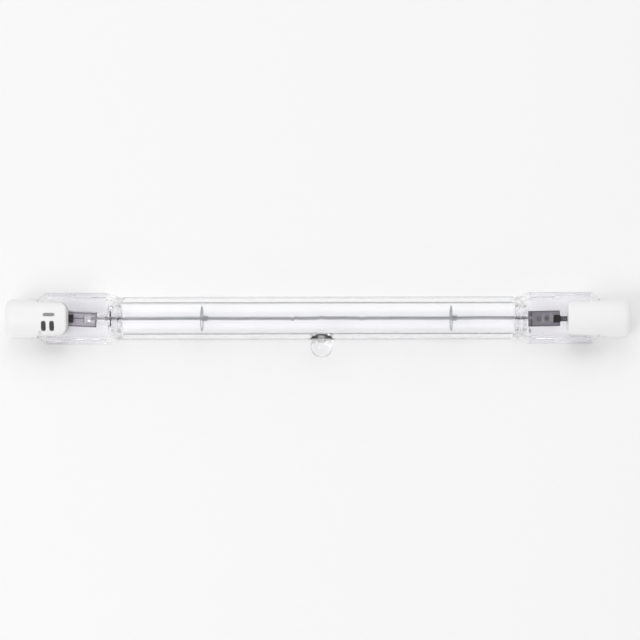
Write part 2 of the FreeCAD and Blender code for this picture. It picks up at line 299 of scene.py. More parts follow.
def makeFusedSilica():
    # Fused silica, flame-worked: colourless and very smooth. The pressed ends keep the
    # slight waviness of the jaws and a faint cool tint.
    material, tree, place = startMaterial("fusedSilica")
    along = addNode(tree, "ShaderNodeSeparateXYZ", inputs={0: place}).outputs["X"]
    away = addNode(tree, "ShaderNodeMath", {"operation": "ABSOLUTE"}, {0: along}).outputs[0]
    tintStart, tintEnd = quartz["tintFade"]
    pressed = addNode(
        tree, "ShaderNodeMapRange", {"interpolation_type": "SMOOTHSTEP"},
        {"Value": away, "From Min": mm(tintStart), "From Max": mm(tintEnd)},
    ).outputs["Result"]
    tint = addNode(
        tree, "ShaderNodeMix", {"data_type": "RGBA"},
        {"Factor": pressed, 6: fromHex("fdfdfe"), 7: fromHex("f6f5f8")},
    ).outputs[2]
    # painted shade: the walls are tinted grey where they are seen edge on, darkest at the bore
    facing = addNode(tree, "ShaderNodeLayerWeight", inputs={"Blend": 0.5}).outputs["Facing"]
    for start, end, grey, surface in (
        (0.5, 0.97, "85858a", "rim"), (0.42, 0.8, "1c1c20", "bore"),
    ):
        edgeOn = addNode(
            tree, "ShaderNodeMapRange", {"interpolation_type": "SMOOTHSTEP"},
            {"Value": facing, "From Min": start, "From Max": end},
        ).outputs["Result"]
        share = addNode(tree, "ShaderNodeAttribute", {"attribute_name": surface}).outputs["Fac"]
        edgeOn = addNode(
            tree, "ShaderNodeMath", {"operation": "MULTIPLY"}, {0: edgeOn, 1: share}
        ).outputs[0]
        tint = addNode(
            tree, "ShaderNodeMix", {"data_type": "RGBA"},
            {"Factor": edgeOn, 6: tint, 7: fromHex(grey)},
        ).outputs[2]
    # painted shade: a dark half ring at the bead's neck, a haze over the bead, and spots at the
    # left lead's mouth and at a crease on the right seal
    paintedShade = addNode(tree, "ShaderNodeAttribute", {"attribute_name": "paintedShade"}).outputs["Fac"]
    shadeColour = fromHex("030304")
    tint = addNode(
        tree, "ShaderNodeMix", {"data_type": "RGBA"}, {"Factor": paintedShade, 6: tint, 7: shadeColour}
    ).outputs[2]
    # jaw waviness 1.54 mm across
    ripple = addNode(
        tree, "ShaderNodeTexNoise", inputs={"Vector": place, "Scale": 1 / mm(1.54), "Detail": 1.0}
    ).outputs["Fac"]
    height = addNode(
        tree, "ShaderNodeMath", {"operation": "MULTIPLY"}, {0: ripple, 1: pressed}
    ).outputs[0]
    bump = addNode(
        tree, "ShaderNodeBump", inputs={"Strength": 0.25, "Distance": mm(0.2), "Height": height}
    ).outputs[0]
    glass = addNode(tree, "ShaderNodeBsdfPrincipled", inputs={
        "Base Color": tint, "Roughness": 0.0, "IOR": quartz["glassIndex"],
        "Transmission Weight": 1.0, "Normal": bump,
    })
    # Clear glass lets the lamps' light through to the wires and the table, and evenly
    # melted glass shows what is behind it almost unbent.
    # the painted shade darkens the light that passes the glass too
    clear = addNode(
        tree, "ShaderNodeMix", {"data_type": "RGBA"},
        {"Factor": paintedShade, 6: fromHex("ffffff"), 7: shadeColour},
    ).outputs[2]
    passing = addNode(tree, "ShaderNodeBsdfTransparent", inputs={"Color": clear})
    fromLamp = addNode(tree, "ShaderNodeLightPath").outputs["Is Shadow Ray"]
    even = addNode(tree, "ShaderNodeAttribute", {"attribute_name": "even"}).outputs["Fac"]
    unbent = addNode(
        tree, "ShaderNodeMath", {"operation": "MAXIMUM"}, {0: fromLamp, 1: even}
    ).outputs[0]
    showSurface(tree, addNode(tree, "ShaderNodeMixShader", inputs={
        0: unbent, 1: glass.outputs[0], 2: passing.outputs[0],
    }))
    return material


def addInk(tree, place, colour, stamps):
    # rounded fields on the upper side, in the bulb's own level axes and in millimetres,
    # each with its middle, half size, softness and colour
    squareness = 4.0
    level = addNode(tree, "ShaderNodeMapping", {"vector_type": "POINT"}, {
        "Vector": place, "Rotation": (-restRoll, 0, 0), "Scale": (1000, 1000, 1000),
    }).outputs[0]
    axes = addNode(tree, "ShaderNodeSeparateXYZ", inputs={0: level}).outputs
    above = addNode(
        tree, "ShaderNodeMath", {"operation": "GREATER_THAN"}, {0: axes["Z"], 1: 0.0}
    ).outputs[0]
    for middle, half, softness, code in stamps:
        reach = []
        for axis, mid, size in zip(("X", "Y"), middle, half):
            off = addNode(
                tree, "ShaderNodeMath", {"operation": "SUBTRACT"}, {0: axes[axis], 1: mid}
            )
            off = addNode(
                tree, "ShaderNodeMath", {"operation": "DIVIDE"}, {0: off.outputs[0], 1: size}
            )
            off = addNode(tree, "ShaderNodeMath", {"operation": "ABSOLUTE"}, {0: off.outputs[0]})
            reach.append(addNode(
                tree, "ShaderNodeMath", {"operation": "POWER"},
                {0: off.outputs[0], 1: squareness},
            ).outputs[0])
        total = addNode(tree, "ShaderNodeMath", inputs={0: reach[0], 1: reach[1]}).outputs[0]
        inked = addNode(tree, "ShaderNodeMapRange", {"interpolation_type": "SMOOTHSTEP"}, {
            "Value": total, "From Min": 1 + softness, "From Max": 1 - softness, "To Max": above,
        }).outputs["Result"]
        colour = addNode(
            tree, "ShaderNodeMix", {"data_type": "RGBA"},
            {"Factor": inked, 6: colour, 7: fromHex(code)},
        ).outputs[2]
    return colour


def makeSteatite(name, stamps=()):
    # Steatite ceramic, dry-pressed and fired unglazed: white, dead smooth but not shiny,
    # with a fine grain.
    material, tree, place = startMaterial(name)
    # firing leaves faint clouds about 4.5 mm across
    cloud = addNode(
        tree, "ShaderNodeTexNoise", inputs={"Vector": place, "Scale": 1 / mm(4.55), "Detail": 3.0}
    ).outputs["Fac"]
    colour = addNode(
        tree, "ShaderNodeMix", {"data_type": "RGBA"},
        {"Factor": cloud, 6: fromHex("f6f5f6"), 7: fromHex("fbfafa")},
    ).outputs[2]
    if stamps:
        colour = addInk(tree, place, colour, stamps)
    # pressed grain, drawn coarser than it is, at 0.15 mm, so that it shows
    grain = addNode(
        tree, "ShaderNodeTexNoise", inputs={"Vector": place, "Scale": 1 / mm(0.154), "Detail": 2.0}
    ).outputs["Fac"]
    bump = addNode(
        tree, "ShaderNodeBump", inputs={"Strength": 0.15, "Distance": mm(0.03), "Height": grain}
    ).outputs[0]
    showSurface(tree, addNode(tree, "ShaderNodeBsdfPrincipled", inputs={
        "Base Color": colour, "Roughness": 0.5, "IOR": 1.6, "Normal": bump,
    }))
    return material


def makeCement():
    # Cap cement, set from a paste: off-white, dry, with grains about 0.25 mm across.
    material, tree, place = startMaterial("capCement")
    grain = addNode(
        tree, "ShaderNodeTexNoise", inputs={"Vector": place, "Scale": 1 / mm(0.25), "Detail": 4.0}
    ).outputs["Fac"]
    colour = addNode(
        tree, "ShaderNodeMix", {"data_type": "RGBA"},
        {"Factor": grain, 6: fromHex("dad9d8"), 7: fromHex("f1f0ef")},
    ).outputs[2]
    bump = addNode(
        tree, "ShaderNodeBump", inputs={"Strength": 0.6, "Distance": mm(0.08), "Height": grain}
    ).outputs[0]
    showSurface(tree, addNode(tree, "ShaderNodeBsdfPrincipled", inputs={
        "Base Color": colour, "Roughness": 0.85, "IOR": 1.55, "Normal": bump,
    }))
    return material


def makeMetal(name, dark, light, roughness, grainAlong, grainAcross, bumpHeight, marks=None):
    # Drawn wire or rolled sheet: grain runs along X, with grainAlong and grainAcross its
    # sizes in millimetres, drawn coarser than they are so that they show. Marks are the
    # colours of burnt places and of painted highlights.
    fullMark = 1.6              # painted strength at which a mark has its whole colour
    unevenness = 0.08
    material, tree, place = startMaterial(name)
    stretched = addNode(tree, "ShaderNodeMapping", inputs={
        "Vector": place,
        "Scale": (1000 / grainAlong, 1000 / grainAcross, 1000 / grainAcross),
    }).outputs[0]
    streak = addNode(
        tree, "ShaderNodeTexNoise", inputs={"Vector": stretched, "Scale": 1.0, "Detail": 2.0}
    ).outputs["Fac"]
    colour = addNode(
        tree, "ShaderNodeMix", {"data_type": "RGBA"},
        {"Factor": streak, 6: fromHex(dark), 7: fromHex(light)},
    ).outputs[2]
    if marks:
        painted = addNode(tree, "ShaderNodeAttribute", {"attribute_name": "mark"}).outputs["Fac"]
        for reach, code in zip((fullMark, -fullMark), marks):
            share = addNode(
                tree, "ShaderNodeMapRange", inputs={"Value": painted, "From Max": reach}
            ).outputs["Result"]
            colour = addNode(
                tree, "ShaderNodeMix", {"data_type": "RGBA"},
                {"Factor": share, 6: colour, 7: fromHex(code)},
            ).outputs[2]
    rough = addNode(tree, "ShaderNodeMapRange", inputs={
        "Value": streak, "To Min": roughness - unevenness, "To Max": roughness + unevenness,
    }).outputs["Result"]
    bump = addNode(
        tree, "ShaderNodeBump",
        inputs={"Strength": 0.5, "Distance": mm(bumpHeight), "Height": streak},
    ).outputs[0]
    showSurface(tree, addNode(tree, "ShaderNodeBsdfPrincipled", inputs={
        "Base Color": colour, "Metallic": 1.0, "Roughness": rough, "Normal": bump,
    }))
    return material


fusedSilica = makeFusedSilica()
steatite = makeSteatite("steatiteCeramic")
# the left cap's ink is plain shapes: a grey dash over two dark bars
printedSteatite = makeSteatite("steatitePrinted", (
    ((-50.5, 0.77), (1.1, 0.33), 0.5, "8f8c90"),
    ((-51.5, -1.36), (0.45, 0.95), 0.5, "2d2a2e"),
    ((-49.95, -1.36), (0.45, 0.95), 0.5, "2d2a2e"),
    ((-52.25, -2.6), (0.3, 0.36), 0.95, "e0dedf"),      # a smear of cement
))
capCement = makeCement()
# Tungsten coil wire: drawn and recrystallised, mid grey.
coilWire = makeMetal("tungstenCoilWire", "8a8a8e", "cacacd", 0.4, 0.7, 0.5, 0.004)
# Tungsten supports: drawn, a little brighter along the drawing lines.
supportWire = makeMetal("tungstenWire", "8e8e92", "b6b6ba", 0.4, 1.5, 0.08, 0.004)
# Tungsten leads inside the glass: cleaned of oxide by the hydrogen flame, dull grey.
innerWire = makeMetal("tungstenLead", "6c6a70", "939197", 0.45, 1.5, 0.08, 0.004)
# Molybdenum foil: rolled thin and etched, grey with a faint violet cast. Its light marks are
# painted highlights.
foilSheet = makeMetal(
    "molybdenumFoil", "747178", "908d94", 0.45, 1.2, 0.35, 0.03, ("3a373b", "fafafa")
)
# Molybdenum pin: drawn thick wire, heat-darkened where it is welded.
pinWire = makeMetal(
    "molybdenumPin", "504f54", "838287", 0.45, 0.6, 0.15, 0.01, ("0e0c0e", "e8e8ea")
)
# Nickel-plated contact, turned.
contactMetal = makeMetal("nickelContact", "a8a49c", "cfcbc3", 0.28, 0.1, 0.4, 0.004)
print("materials done")


# Quartz tube with its pressed ends

def slabPoint(angle, halfWidth, halfHeight):
    # a flat slab with half-round edges
    y = halfWidth * math.cos(angle)
    past = abs(y) - (halfWidth - halfHeight)
    height = halfHeight if past <= 0 else math.sqrt(max(halfHeight ** 2 - past ** 2, 0))
    return y, math.copysign(height, math.sin(angle))


def matchingPlace(far):
    # The bore follows the outside so that light leaves each sloping wall in the direction
    # in which it came, which keeps the shoulders clear. This gives the place on the outside
    # that a place on the bore follows. Each round goes half of the way there.
    q = quartz
    rounds = 30
    stepLength = q["stepEnd"] - q["stepStart"]
    drop = (q["tubeDiameter"] - q["webThickness"]) / 2
    wall = (q["tubeDiameter"] - q["boreDiameter"]) / 2
    place = far
    for _ in range(rounds):
        share = min(max((place - q["stepStart"]) / stepLength, 0.0), 1.0)
        slope = math.atan(drop * 6 * share * (1 - share) / stepLength)
        bent = math.asin(math.sin(slope) / q["glassIndex"])
        place += 0.5 * (far + wall * math.sin(slope - bent) / math.cos(bent) - place)
    return place


def sealHeight(far, y, z):
    # the seal's half thickness, thick at its ribs and thin at its web
    q = quartz
    webEdge = q["sealWidth"] / 2 - q["ribWidth"]
    inWeb = 1 - ease(abs(y), webEdge - q["ribSlope"] / 2, webEdge + q["ribSlope"] / 2)
    inWeb *= ease(far, q["stepStart"], q["stepEnd"])
    return z + (min(z, q["webThickness"] / 2) - z) * inWeb


def outerPoint(x, angle):
    q = quartz
    far = abs(x)
    radius = q["tubeDiameter"] / 2
    widened = ease(far, q["shoulderStart"], q["sealStart"])
    pressed = ease(far, q["stepStart"], q["stepEnd"])
    halfWidth = q["sealWidth"] / 2
    toNose = min(max((far - q["cornerStart"]) / (q["noseStart"] - q["cornerStart"]), 0), 1)
    halfWidth += (q["noseHalfWidth"] - halfWidth) * toNose
    y, z = slabPoint(angle, q["sealWidth"] / 2, q["ribThickness"] / 2)
    upright = math.copysign(1, z)
    z = sealHeight(far, y, abs(z))
    if abs(y) > halfWidth:
        # at the cut-off corners the edge stays no thicker than the glass beside it
        z = min(z, sealHeight(far, halfWidth, q["ribThickness"] / 2))
    z *= upright
    onMark = between(x, *[
        (end - q["jawMarkFade"], end + q["jawMarkFade"])
        for end in q["jawMarks"]["left" if x < 0 else "right"]
    ])
    across = abs(abs(y) - q["jawMarkPlace"]) / (q["jawMarkWidth"] / 2)
    if across < 1:
        z -= math.copysign(q["jawMarkDepth"] * onMark * (1 - across ** 2), z)
    y = math.copysign(min(abs(y), halfWidth), y)
    return (
        radius * math.cos(angle) * (1 - widened) + y * widened,
        radius * math.sin(angle) * (1 - pressed) + z * pressed,
    )


def gasPoint(x, angle):
    q = quartz
    far = abs(x)
    side = "left" if x < 0 else "right"
    radius = q["boreDiameter"] / 2
    alongChannel = ease(far, q["stepEnd"], q["channelEnd"][side])
    halfWidth, halfHeight = [
        (mouth + (tail - mouth) * alongChannel) / 2
        for mouth, tail in zip(q["channelMouth"][side], q["channelTail"])
    ]
    if far > q["stepEnd"] + q["gasEndStep"] / 2:
        return halfWidth * math.cos(angle), halfHeight * math.sin(angle)
    widened = ease(far, q["shoulderStart"], q["stepEnd"])
    pressed = ease(matchingPlace(far), q["stepStart"], q["stepEnd"])
    y, z = slabPoint(angle, q["gasEndWidth"] / 2, q["gasEndHeight"] / 2)
    y = radius * math.cos(angle) * (1 - widened) + y * widened
    z = radius * math.sin(angle) * (1 - pressed) + z * pressed
    inChannel = 1 - (y / halfWidth) ** 2
    if inChannel > 0:
        z = math.copysign(max(abs(z), halfHeight * math.sqrt(inChannel)), z)
    return y, z


def beadRadius(depth):
    # radius of the bead and its neck this far from the bulb's axis
    q = quartz
    ball = q["beadDiameter"] / 2
    if depth > q["neckPlace"]:
        return math.sqrt(max(ball ** 2 - (depth - q["beadOffset"]) ** 2, nearby ** 2))
    narrowest = math.sqrt(ball ** 2 - (q["neckPlace"] - q["beadOffset"]) ** 2)
    return min(narrowest + q["neckFlare"] * (q["neckPlace"] - depth) ** 2, q["neckWidest"])


def pressRod(rod, point):
    # moves each point of the rod to where the function puts its place and angle
    for vertex in rod.data.vertices:
        x, y, z = vertex.co * 1000
        if math.hypot(y, z) > nearby:
            y, z = point(x, math.atan2(z, y))
            vertex.co = (mm(x), mm(y), mm(z))


# Painted shade on the glass, and where it is so evenly melted that hardly any light is bent. Each
# pair is where a fade starts and ends.
glassMarks = {
    # in the shoulders and at the nose the walls get no painted edge shade
    "clearFrom": (36.3, 36.7),
    "clearTo": (40.0, 40.3),
    "clearSide": (2.7, 3.0),
    "clearNose": (51.0, 51.5),
    # evenly melted glass hardly bends the light: the shoulders, the corners and the neck
    "evenFrom": (36.3, 37.0),
    "evenTo": (39.6, 40.2),
    "evenSide": (2.0, 2.6),
    "evenShoulder": 0.7,
    "evenCornerFrom": (51.2, 51.5),
    "evenCorner": 0.75,
    "evenNeckRound": (2.3, 2.8),
    "evenNeckFrom": (3.2, 3.6),
    "evenNeckTo": (4.4, 4.9),
    "evenNeck": 0.75,
    # a half ring of painted shade at the bead's neck: its half sizes, its edges and where it thins
    # out
    "paintedShadeRing": (2.3, 2.75),
    "paintedShadeInside": (0.86, 0.95),
    "paintedShadeOutside": (1.02, 1.1),
    "paintedShadeDown": (-4.05, -3.75),
    "paintedShadeUpper": (0.3, 1.3),
    "paintedShadeLost": 0.9,           # how much of it is gone on the lower side
    "beadShade": 0.08,
    "beadShadeEdge": (1.2, 1.7),
    # spots of painted shade as place along, place across, half sizes and strength
    "leadShadeSpots": ((-38.95, 0.95, 0.25, 0.62, 0.55), (-38.95, -1.2, 0.22, 0.42, 0.4)),
    "creaseShade": ((39.85, -2.4, 0.16, 0.5, 0.6),),
    "spotEdge": (0.7, 1.3),
}


def paintGlass(piece, surface):
    # how much painted edge shade each surface gets, where it has painted shade, and where it is so
    # evenly melted that hardly any light is bent
    q = quartz
    g = glassMarks
    names = (surface, "paintedShade", "even")
    for name in names:
        piece.data.attributes.new(name, "FLOAT", "POINT")
    edge, paintedShade, even = [piece.data.attributes[name].data for name in names]
    spots = g["leadShadeSpots"] if surface == "bore" else g["creaseShade"]
    for i, vertex in enumerate(piece.data.vertices):
        x, y, z = vertex.co * 1000
        far = abs(x)
        fromTip = x - q["tipAlong"]

        inShoulder = between(far, g["clearFrom"], g["clearTo"])
        inShoulder *= 1 - ease(abs(y), *g["clearSide"])
        edge[i].value = (1 - inShoulder) * (1 - ease(far, *g["clearNose"]))

        inStep = between(far, g["evenFrom"], g["evenTo"]) * ease(abs(y), *g["evenSide"])
        inNeck = 1 - ease(math.hypot(fromTip, z), *g["evenNeckRound"])
        inNeck *= between(-y, g["evenNeckFrom"], g["evenNeckTo"])
        even[i].value = g["evenShoulder"] * inStep + g["evenNeck"] * inNeck
        even[i].value += g["evenCorner"] * ease(far, *g["evenCornerFrom"])

        # painted shade: a half ring at the bead's neck, a haze over the bead and spots
        dark = 0
        if y < 0 and surface == "rim":
            ring = math.hypot(fromTip / g["paintedShadeRing"][0], z / g["paintedShadeRing"][1])
            dark = between(ring, g["paintedShadeInside"], g["paintedShadeOutside"]) * ease(y, *g["paintedShadeDown"])
            dark *= 1 - g["paintedShadeLost"] * (1 - ease(z, *g["paintedShadeUpper"]))
        fromBead = math.hypot(fromTip, y + q["beadOffset"])
        if fromBead < q["beadDiameter"] / 2 + nearby:
            dark += g["beadShade"] * (1 - ease(fromBead, *g["beadShadeEdge"]))
        for midX, midY, halfX, halfY, strength in spots:
            reach = math.hypot((x - midX) / halfX, (y - midY) / halfY)
            dark += strength * (1 - ease(reach, *g["spotEdge"]))
        paintedShade[i].value = dark


def makeBead():
    # exhaust tip: a melted bead on a neck that flows into the tube
    q = quartz
    ball = q["beadDiameter"] / 2
    top = q["neckPlace"] - q["neckLength"]
    bead = addRod(ball, top, q["beadOffset"] + ball)
    # close rings on the neck, and one every five degrees on the ball
    cutRings(bead, steps(top + 0.1, q["neckPlace"], 14) + [
        q["beadOffset"] - ball * math.cos(math.radians(turned)) for turned in range(60, 180, 5)
    ])
    for vertex in bead.data.vertices:
        depth, y, z = vertex.co * 1000
        scale = beadRadius(depth) / math.hypot(y, z)
        vertex.co = (mm(q["tipAlong"] - y * scale), mm(-depth), mm(z * scale))
    return bead


def onSeam(p):
    # where the bead's neck meets the tube
    q = quartz
    offNeck = abs(math.hypot(p.x - q["tipAlong"], p.z) - beadRadius(-p.y))
    offTube = math.hypot(p.y, p.z) - q["tubeDiameter"] / 2
    return p.y < 0 and offNeck < q["seamWidth"] and offTube < q["seamHeight"]


def makeOutside():
    q = quartz
    outside = addRod(q["tubeDiameter"] / 2, -q["noseEnd"], q["noseEnd"], q["sidesRound"])
    half = steps(q["stepStart"] - q["shoulderLead"], q["sealStart"], q["shoulderRings"])
    half += [*q["fadeRings"], q["cornerStart"], q["noseStart"]]
    places = half + [-x for x in half]
    for ends in q["jawMarks"].values():
        for end in ends:
            places += steps(end - q["markRings"], end + q["markRings"], 4)
    reach = q["beadDiameter"] / 2 + q["beadRings"]
    places += steps(q["tipAlong"] - reach, q["tipAlong"] + reach, 26)
    cutRings(outside, places)
    pressRod(outside, outerPoint)
    weld(outside)
    combine(outside, makeBead(), "UNION")
    selectEdges(outside, lambda a, b: onSeam(a) and onSeam(b))
    bpy.ops.mesh.vertices_smooth(factor=0.5, repeat=8)
    leaveEdit()
    paintGlass(outside, "rim")
    return outside


def makeExhaustHole():
    q = quartz
    start = q["boreDiameter"] / 2 - q["exhaustInside"]
    end = q["exhaustReach"]
    nothingSelected()
    bpy.ops.mesh.primitive_cylinder_add(
        vertices=64, radius=mm(q["exhaustHole"] / 2), depth=mm(end - start),
        location=(mm(q["tipAlong"]), -mm(start + end) / 2, 0), rotation=(math.pi / 2, 0, 0),
    )
    hole = bpy.context.object
    settle(hole)
    rounding = q["exhaustHole"] * q["exhaustRounding"]
    bevelEdges(hole, lambda a, b: max(a.y, b.y) < -end + nearby, rounding, 7)
    return hole


def makeGasSpace():
    q = quartz
    ends = q["channelEnd"]
    gas = addRod(q["boreDiameter"] / 2, -ends["left"], ends["right"], q["sidesRound"])
    channelStart = q["stepEnd"] + q["gasEndStep"]
    half = steps(q["stepStart"] - q["shoulderLead"], q["stepEnd"], q["shoulderRings"])
    half.append(channelStart)
    channel = steps(channelStart, ends["left"], 12)[1:-1]
    cutRings(gas, half + [-x for x in half] + [-x for x in channel])
    pressRod(gas, gasPoint)
    combine(gas, makeExhaustHole(), "UNION")
    editWhole(gas)
    bpy.ops.mesh.flip_normals()
    leaveEdit()
    paintGlass(gas, "bore")
    return gas


def makeQuartz():
    tube = makeOutside()
    gas = makeGasSpace()
    onlySelected(tube)
    gas.select_set(True)
    bpy.ops.object.join()
    finishPiece(
        tube, "quartz_tube", fusedSilica, ["quartz_envelope"], sharpAngle=50
    )


makeQuartz()


# Coiled filament

coil = {
    "end": 38.6,
    "diameter": 0.75,
    "wire": 0.14,
    "pitch": 0.25,
    "sidesRound": 12,
    "wireSides": 6,
    "wave": 0.03,               # how far the hot-set coil strays from the axis
    "calmEnds": 8,              # power by which the waves die out, only near its ends
    "stretch": (0.35, 9.0),     # how far its turns wander along it, and over what length
    # small bends, each as place and height
    "kinks": ((-4.9, -0.2), (-4.1, 0.12), (0.5, 0.14), (8.4, -0.14), (-12.3, 0.09)),
    "kinkLength": 0.32,
}


def makeFilament():
    c = coil
    turns = round(2 * c["end"] / c["pitch"])
    nothingSelected()
    bpy.ops.mesh.primitive_circle_add(
        vertices=c["wireSides"], radius=mm(c["wire"] / 2), fill_type="NOTHING",
        location=(-mm(c["end"]), 0, mm((c["diameter"] - c["wire"]) / 2)),
        rotation=(math.pi / 2, 0, 0),
    )
    wire = bpy.context.object
    settle(wire)
    addModifier(
        wire, "SCREW", axis="X", angle=math.tau, iterations=turns,
        screw_offset=mm(2 * c["end"] / turns), steps=c["sidesRound"],
        render_steps=c["sidesRound"], use_merge_vertices=False,
    )
    weld(wire)
    editWhole(wire)
    bpy.ops.mesh.fill_holes(sides=c["wireSides"])
    bpy.ops.mesh.select_all(action="SELECT")
    bpy.ops.mesh.normals_make_consistent(inside=False)
    leaveEdit()
    reach, length = c["stretch"]
    for vertex in wire.data.vertices:
        x = vertex.co.x * 1000
        calm = 1 - (x / c["end"]) ** c["calmEnds"]
        # uneven waves, with angles per millimetre
        sideways = math.sin(x * 0.21 + 0.6) + 0.5 * math.sin(x * 0.47)
        upwards = 0.6 * math.sin(x * 0.17 + 2.0)
        vertex.co.x += mm(reach * calm * math.sin(math.tau * x / length))
        vertex.co.y += mm(c["wave"] * calm * sideways)
        vertex.co.z += mm(c["wave"] * calm * upwards)
        for place, rise in c["kinks"]:
            vertex.co.y += mm(rise * math.exp(-((x - place) / c["kinkLength"]) ** 2))
    finishPiece(
        wire, "filament_coil", coilWire, ["filament"], sharpAngle=80
    )


makeFilament()


# Wire supports

support = {
    "places": {"left": -21.9, "right": 25.0},
    "leans": {"left": 7.7, "right": 3.0},   # degrees from square
    "ringDiameter": 4.9,
    "wire": 0.17,
    "hubTurns": 4,
    "hubPitch": 0.26,
    "hubGap": 0.01,
    "ringSweep": 325,           # the ring is open by the rest of a turn
    "hubSteps": 20,             # points to a turn of the hub, on the spoke and on the ring
    "spokeSteps": 6,
    "ringSteps": 60,
}


def supportPath(side):
    # hub, spoke and leaning ring, with the spoke upright
    s = support
    hubRadius = coil["diameter"] / 2 + s["wire"] / 2 + s["hubGap"]
    ringRadius = (s["ringDiameter"] - s["wire"]) / 2
    path = []
    for i in range(s["hubTurns"] * s["hubSteps"] + 1):
        turns = i / s["hubSteps"]
        across = hubRadius * math.sin(math.tau * turns)
        up = hubRadius * math.cos(math.tau * turns)
        path.append(Vector(((s["hubTurns"] - turns) * s["hubPitch"], across, up)))
    for height in steps(hubRadius, ringRadius, s["spokeSteps"])[1:-1]:
        path.append(Vector((0, 0, height)))
    lean = Matrix.Rotation(math.radians(s["leans"][side]), 3, "Z")
    for turned in steps(0, math.radians(s["ringSweep"]), s["ringSteps"]):
        rim = Vector((0, ringRadius * math.sin(turned), ringRadius * math.cos(turned)))
        path.append(lean @ rim)
    return path


def makeSupport(side):
    s = support
    path = supportPath(side)
    line = bpy.data.curves.new("supportLine", "CURVE")
    line.dimensions = "3D"
    line.bevel_depth = mm(s["wire"] / 2)
    line.bevel_resolution = 2
    line.use_fill_caps = True
    spline = line.splines.new("POLY")
    spline.points.add(len(path) - 1)
    awayFromTip = Matrix.Rotation(math.radians(-90), 3, "X")
    for point, spot in zip(spline.points, path):
        point.co = (*(awayFromTip @ spot * 0.001), 1)
    piece = bpy.data.objects.new("support", line)
    bpy.context.collection.objects.link(piece)
    onlySelected(piece)
    bpy.ops.object.convert(target="MESH")
    piece = bpy.context.object
    piece.location.x = mm(s["places"][side])
    settle(piece)
    finishPiece(
        piece, "support_wire_" + side, supportWire, ["support_" + side],
        sharpAngle=80,
    )


for side in ("left", "right"):
    makeSupport(side)


# Ceramic caps

cap = {
    "diameter": 7.4,
    "end": 58.8,
    "barrelFace": 52.9,
    "tongueEnd": {"left": 47.2, "right": 46.85},
    "tongueHalfWidth": 3.2,
    "tongueFlare": 0.3,
    "corner": {"left": 1.9, "right": 1.2},
    "cornerSteps": {"left": 3, "right": 8},
    "endRounding": 1.5,
    "tongueBevel": 0.45,
    "slotEnd": 54.25,
    "slotHalfHeight": 1.15,
    "recessDiameter": 3.2,
    "recessDepth": 1.7,
    "seatDiameter": 2.7,
    "seatDepth": 0.6,
    "leadHoleDiameter": 1.8,
    "edge": 0.18,               # softness of every worn, fired edge
    "past": 5,                  # cutting blocks reach this far from the axis
}


def makeCapOutline(side):
    # the cap seen from above: two tongues widening into the barrel
    c = cap
    past = c["past"]
    half = c["tongueHalfWidth"]
    tongueEnd = c["tongueEnd"][side]
    overlap = 0.2
    outline = addBlock((tongueEnd - nearby, -half, -past), (c["barrelFace"] + overlap, half, past))
    bevelEdges(
        outline, lambda a, b: abs(a.z - b.z) > past and a.x < tongueEnd + 0.1,
        c["corner"][side], c["cornerSteps"][side],
    )
    barrel = addBlock((c["barrelFace"], -past, -past), (c["end"] + 1, past, past))
    combine(outline, barrel, "UNION")
    bevelEdges(outline, lambda a, b: (
        abs(a.z - b.z) > past and abs(a.x - c["barrelFace"]) < nearby
        and abs(abs(a.y) - half) < nearby
    ), c["tongueFlare"], 3)
    return outline


def makeCap(side):
    c = cap
    tongueEnd = c["tongueEnd"][side]
    body = addRod(c["diameter"] / 2, tongueEnd, c["end"], 128)
    bevelEdges(body, lambda a, b: min(a.x, b.x) > c["end"] - nearby, c["endRounding"], 10)
    bevelEdges(body, lambda a, b: max(a.x, b.x) < tongueEnd + nearby, c["tongueBevel"], 4)
    combine(body, makeCapOutline(side), "INTERSECT")

    # slot for the seal, then the recess, the contact's seat and the lead's hole
    slotHalf = c["slotHalfHeight"]
    slot = addBlock((tongueEnd - 1, -c["past"], -slotHalf), (c["slotEnd"], c["past"], slotHalf))
    combine(body, slot, "DIFFERENCE")
    face = c["end"] - c["recessDepth"]
    overlap = 0.1
    for diameter, start, end, sides in (
        (c["recessDiameter"], face, c["end"] + 1, 64),
        (c["seatDiameter"], face - c["seatDepth"], face + overlap, 64),
        (c["leadHoleDiameter"], c["slotEnd"] - overlap, face, 48),
    ):
        combine(body, addRod(diameter / 2, start, end, sides), "DIFFERENCE")
    weld(body, 0.002)
    editWhole(body)
    bpy.ops.mesh.dissolve_limited(angle_limit=math.radians(0.5))
    leaveEdit()
    addModifier(
        body, "BEVEL", width=mm(c["edge"]), segments=3, limit_method="ANGLE",
        angle_limit=math.radians(40), use_clamp_overlap=True,
    )
    surface = steatite
    if side == "left":
        mirrorToLeft(body)
        surface = printedSteatite
    finishPiece(
        body, "ceramic_cap_" + side, surface, ["cap_" + side], sharpAngle=40
    )


for side in ("left", "right"):
    makeCap(side)


# Molybdenum foils and outer leads

